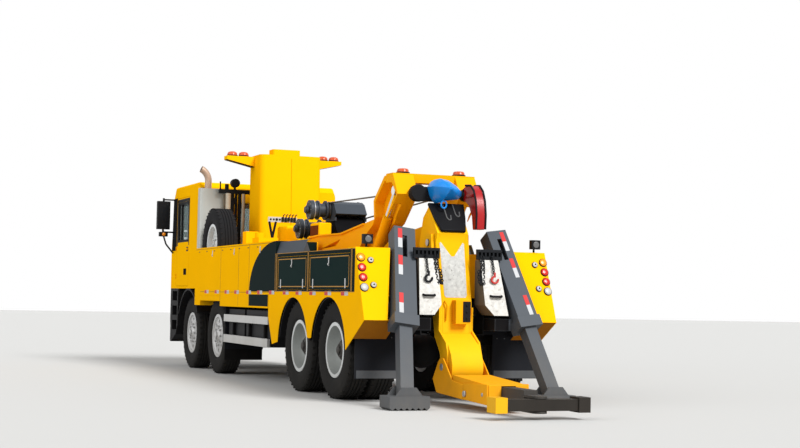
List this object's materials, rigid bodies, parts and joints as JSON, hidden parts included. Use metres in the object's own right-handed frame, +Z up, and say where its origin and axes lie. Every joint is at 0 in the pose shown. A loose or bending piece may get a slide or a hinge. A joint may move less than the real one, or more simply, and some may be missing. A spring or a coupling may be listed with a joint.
{
  "type": "heavy recovery tow truck",
  "caption": "Heavy recovery truck with a flat-nosed cab, steering front axles, twin-wheel rear bogie, lifting boom, underlift and rear legs.",
  "frame": {"origin": "on the ground under the middle of the overall length", "axes": "+X towards the front bumper, +Y to the truck's left, +Z up"},
  "size_m": [12.535, 3.14, 3.74],
  "materials": {
    "body_yellow": "gloss paint, yellow orange",
    "boom_orange": "gloss paint, orange",
    "tyre": "matte rubber",
    "rim_silver": "satin silver paint",
    "chassis_black": "satin black paint",
    "cast_grey": "rough",
    "trim_black": "grained plastic",
    "glass": "tinted clear",
    "interior": "dark trim",
    "locker_green": "satin dark green",
    "leg_grey": "satin grey paint",
    "plate_white": "raised pattern plate",
    "rail_aluminium": "brushed",
    "shield_steel": "dull silver",
    "steel": "bare steel",
    "rubber": "matte",
    "lens": "clear coloured",
    "head_blue": "gloss blue paint",
    "head_red": "gloss red paint"
  },
  "bodies": {
    "chassis": {"axles": "chassis_black", "cab_glass": "glass", "cab_interior": "interior", "cab_shell": "body_yellow", "cab_trim": "trim_black", "chequer_boxes": "plate_white", "engine_block": "cast_grey", "exhaust": "shield_steel", "fenders": "boom_orange", "frame": "chassis_black", "gantry": "chassis_black", "hook_racks": "chassis_black", "lamps": "lens", "leg_sleeves": "leg_grey", "mud_flaps": "rubber", "side_bodies": "body_yellow", "side_guards": "rail_aluminium", "spare_wheel": "tyre", "springs": "chassis_black", "tanks": "chassis_black", "tower": "body_yellow"},
    "knuckle_front_1_left": {"knuckle_front_1_left": "cast_grey"},
    "knuckle_front_1_right": {"knuckle_front_1_right": "cast_grey"},
    "knuckle_front_2_left": {"knuckle_front_2_left": "cast_grey"},
    "knuckle_front_2_right": {"knuckle_front_2_right": "cast_grey"},
    "wheel_front_1_left": {"tyre_front_1_left": "tyre", "rim_front_1_left": "rim_silver"},
    "wheel_front_1_right": {"tyre_front_1_right": "tyre", "rim_front_1_right": "rim_silver"},
    "wheel_front_2_left": {"tyre_front_2_left": "tyre", "rim_front_2_left": "rim_silver"},
    "wheel_front_2_right": {"tyre_front_2_right": "tyre", "rim_front_2_right": "rim_silver"},
    "wheel_rear_1_left": {"tyre_rear_1_left": "tyre", "rim_rear_1_left": "rim_silver"},
    "wheel_rear_1_right": {"tyre_rear_1_right": "tyre", "rim_rear_1_right": "rim_silver"},
    "wheel_rear_2_left": {"tyre_rear_2_left": "tyre", "rim_rear_2_left": "rim_silver"},
    "wheel_rear_2_right": {"tyre_rear_2_right": "tyre", "rim_rear_2_right": "rim_silver"},
    "door_left": {"door_left": "body_yellow"},
    "door_right": {"door_right": "body_yellow"},
    "locker_door_front_left": {"locker_door_front_left": "locker_green"},
    "locker_door_front_right": {"locker_door_front_right": "locker_green"},
    "locker_door_rear_left": {"locker_door_rear_left": "locker_green"},
    "locker_door_rear_right": {"locker_door_rear_right": "locker_green"},
    "boom": {"boom": "boom_orange", "winches": "chassis_black", "ropes": "steel"},
    "lift_barrels": {"lift_barrels": "boom_orange"},
    "lift_rods": {"lift_rods": "steel"},
    "rope_head_left": {"rope_head_left": "head_blue"},
    "rope_head_right": {"rope_head_right": "head_red"},
    "underlift_mast": {"underlift_mast": "body_yellow"},
    "stinger": {"stinger": "boom_orange"},
    "stinger_slide": {"stinger_slide": "steel"},
    "crossbar": {"crossbar": "chassis_black"},
    "leg_left": {"leg_left": "leg_grey"},
    "leg_right": {"leg_right": "leg_grey"}
  },
  "joints": [
    {"name": "steer_front_1_left", "type": "hinge", "parent": "chassis", "child": "knuckle_front_1_left", "pos_m": [4.8175, 0.78, 0.613], "axis": [0, 0, 1], "range_deg": [-35, 35]},
    {"name": "steer_front_1_right", "type": "hinge", "parent": "chassis", "child": "knuckle_front_1_right", "pos_m": [4.8175, -0.78, 0.613], "axis": [0, 0, 1], "range_deg": [-35, 35]},
    {"name": "steer_front_2_left", "type": "hinge", "parent": "chassis", "child": "knuckle_front_2_left", "pos_m": [3.0675, 0.78, 0.613], "axis": [0, 0, 1], "range_deg": [-23, 23]},
    {"name": "steer_front_2_right", "type": "hinge", "parent": "chassis", "child": "knuckle_front_2_right", "pos_m": [3.0675, -0.78, 0.613], "axis": [0, 0, 1], "range_deg": [-23, 23]},
    {"name": "spin_front_1_left", "type": "hinge", "parent": "knuckle_front_1_left", "child": "wheel_front_1_left", "pos_m": [4.8175, 1, 0.613], "axis": [0, 1, 0], "continuous": true},
    {"name": "spin_front_1_right", "type": "hinge", "parent": "knuckle_front_1_right", "child": "wheel_front_1_right", "pos_m": [4.8175, -1, 0.613], "axis": [0, 1, 0], "continuous": true},
    {"name": "spin_front_2_left", "type": "hinge", "parent": "knuckle_front_2_left", "child": "wheel_front_2_left", "pos_m": [3.0675, 1, 0.613], "axis": [0, 1, 0], "continuous": true},
    {"name": "spin_front_2_right", "type": "hinge", "parent": "knuckle_front_2_right", "child": "wheel_front_2_right", "pos_m": [3.0675, -1, 0.613], "axis": [0, 1, 0], "continuous": true},
    {"name": "spin_rear_1_left", "type": "hinge", "parent": "chassis", "child": "wheel_rear_1_left", "pos_m": [-1.4075, 1, 0.613], "axis": [0, 1, 0], "continuous": true},
    {"name": "spin_rear_1_right", "type": "hinge", "parent": "chassis", "child": "wheel_rear_1_right", "pos_m": [-1.4075, -1, 0.613], "axis": [0, 1, 0], "continuous": true},
    {"name": "spin_rear_2_left", "type": "hinge", "parent": "chassis", "child": "wheel_rear_2_left", "pos_m": [-2.8575, 1, 0.613], "axis": [0, 1, 0], "continuous": true},
    {"name": "spin_rear_2_right", "type": "hinge", "parent": "chassis", "child": "wheel_rear_2_right", "pos_m": [-2.8575, -1, 0.613], "axis": [0, 1, 0], "continuous": true},
    {"name": "door_left", "type": "hinge", "parent": "chassis", "child": "door_left", "pos_m": [5.7565, 1.254, 2.2], "axis": [0, 0, -1], "range_deg": [0, 70]},
    {"name": "door_right", "type": "hinge", "parent": "chassis", "child": "door_right", "pos_m": [5.7565, -1.254, 2.2], "axis": [0, 0, 1], "range_deg": [0, 70]},
    {"name": "locker_door_front_left", "type": "hinge", "parent": "chassis", "child": "locker_door_front_left", "pos_m": [-1.2625, 1.267, 1.384], "axis": [-1, 0, 0], "range_deg": [0, 95]},
    {"name": "locker_door_front_right", "type": "hinge", "parent": "chassis", "child": "locker_door_front_right", "pos_m": [-1.2625, -1.267, 1.384], "axis": [1, 0, 0], "range_deg": [0, 95]},
    {"name": "locker_door_rear_left", "type": "hinge", "parent": "chassis", "child": "locker_door_rear_left", "pos_m": [-2.8125, 1.267, 1.384], "axis": [-1, 0, 0], "range_deg": [0, 95]},
    {"name": "locker_door_rear_right", "type": "hinge", "parent": "chassis", "child": "locker_door_rear_right", "pos_m": [-2.8125, -1.267, 1.384], "axis": [1, 0, 0], "range_deg": [0, 95]},
    {"name": "boom_lift", "type": "hinge", "parent": "chassis", "child": "boom", "pos_m": [0.0425, 0, 1.95], "axis": [0, 1, 0], "range_deg": [0, 30]},
    {"name": "lift_barrel_tilt", "type": "hinge", "parent": "chassis", "child": "lift_barrels", "pos_m": [-1.9775, 0, 1.33], "axis": [0, 1, 0], "range_deg": [0, 33.54]},
    {"name": "lift_rod_slide", "type": "slide", "parent": "lift_barrels", "child": "lift_rods", "axis": [-0.6587, 0, 0.7524], "range_m": [0, 1.0862]},
    {"name": "head_swivel_left", "type": "hinge", "parent": "boom", "child": "rope_head_left", "pos_m": [-3.4575, 0.33, 2.6], "axis": [1, 0, 0], "range_deg": [0, 115]},
    {"name": "head_swivel_right", "type": "hinge", "parent": "boom", "child": "rope_head_right", "pos_m": [-3.4575, -0.33, 2.6], "axis": [1, 0, 0], "range_deg": [-40, 20]},
    {"name": "mast_tilt", "type": "hinge", "parent": "chassis", "child": "underlift_mast", "pos_m": [-3.5925, 0, 1.978], "axis": [0, 1, 0], "range_deg": [0, 12]},
    {"name": "stinger_fold", "type": "hinge", "parent": "underlift_mast", "child": "stinger", "pos_m": [-4.1155, 0, 0.463], "axis": [0, 1, 0], "range_deg": [0, 75]},
    {"name": "stinger_extend", "type": "slide", "parent": "stinger", "child": "stinger_slide", "axis": [-1, 0, 0], "range_m": [0, 0.9]},
    {"name": "crossbar_swivel", "type": "hinge", "parent": "stinger_slide", "child": "crossbar", "pos_m": [-6.1675, 0, 0.16], "axis": [0, 0, 1], "range_deg": [-40, 40]},
    {"name": "leg_left_slide", "type": "slide", "parent": "chassis", "child": "leg_left", "axis": [0.4654, -0.1484, 0.8726], "range_m": [0, 0.7]},
    {"name": "leg_right_slide", "type": "slide", "parent": "chassis", "child": "leg_right", "axis": [0.4654, 0.1484, 0.8726], "range_m": [0, 0.7]}
  ],
  "couplings": [
    {"joint": "steer_front_1_right", "follows": "steer_front_1_left", "ratio": 1},
    {"joint": "steer_front_2_left", "follows": "steer_front_1_left", "ratio": 0.65714},
    {"joint": "steer_front_2_right", "follows": "steer_front_1_left", "ratio": 0.65714},
    {"joint": "lift_barrel_tilt", "follows": "boom_lift", "ratio": 1.1175},
    {"joint": "lift_rod_slide", "follows": "boom_lift", "m_per_rad": 2.0727}
  ]
}
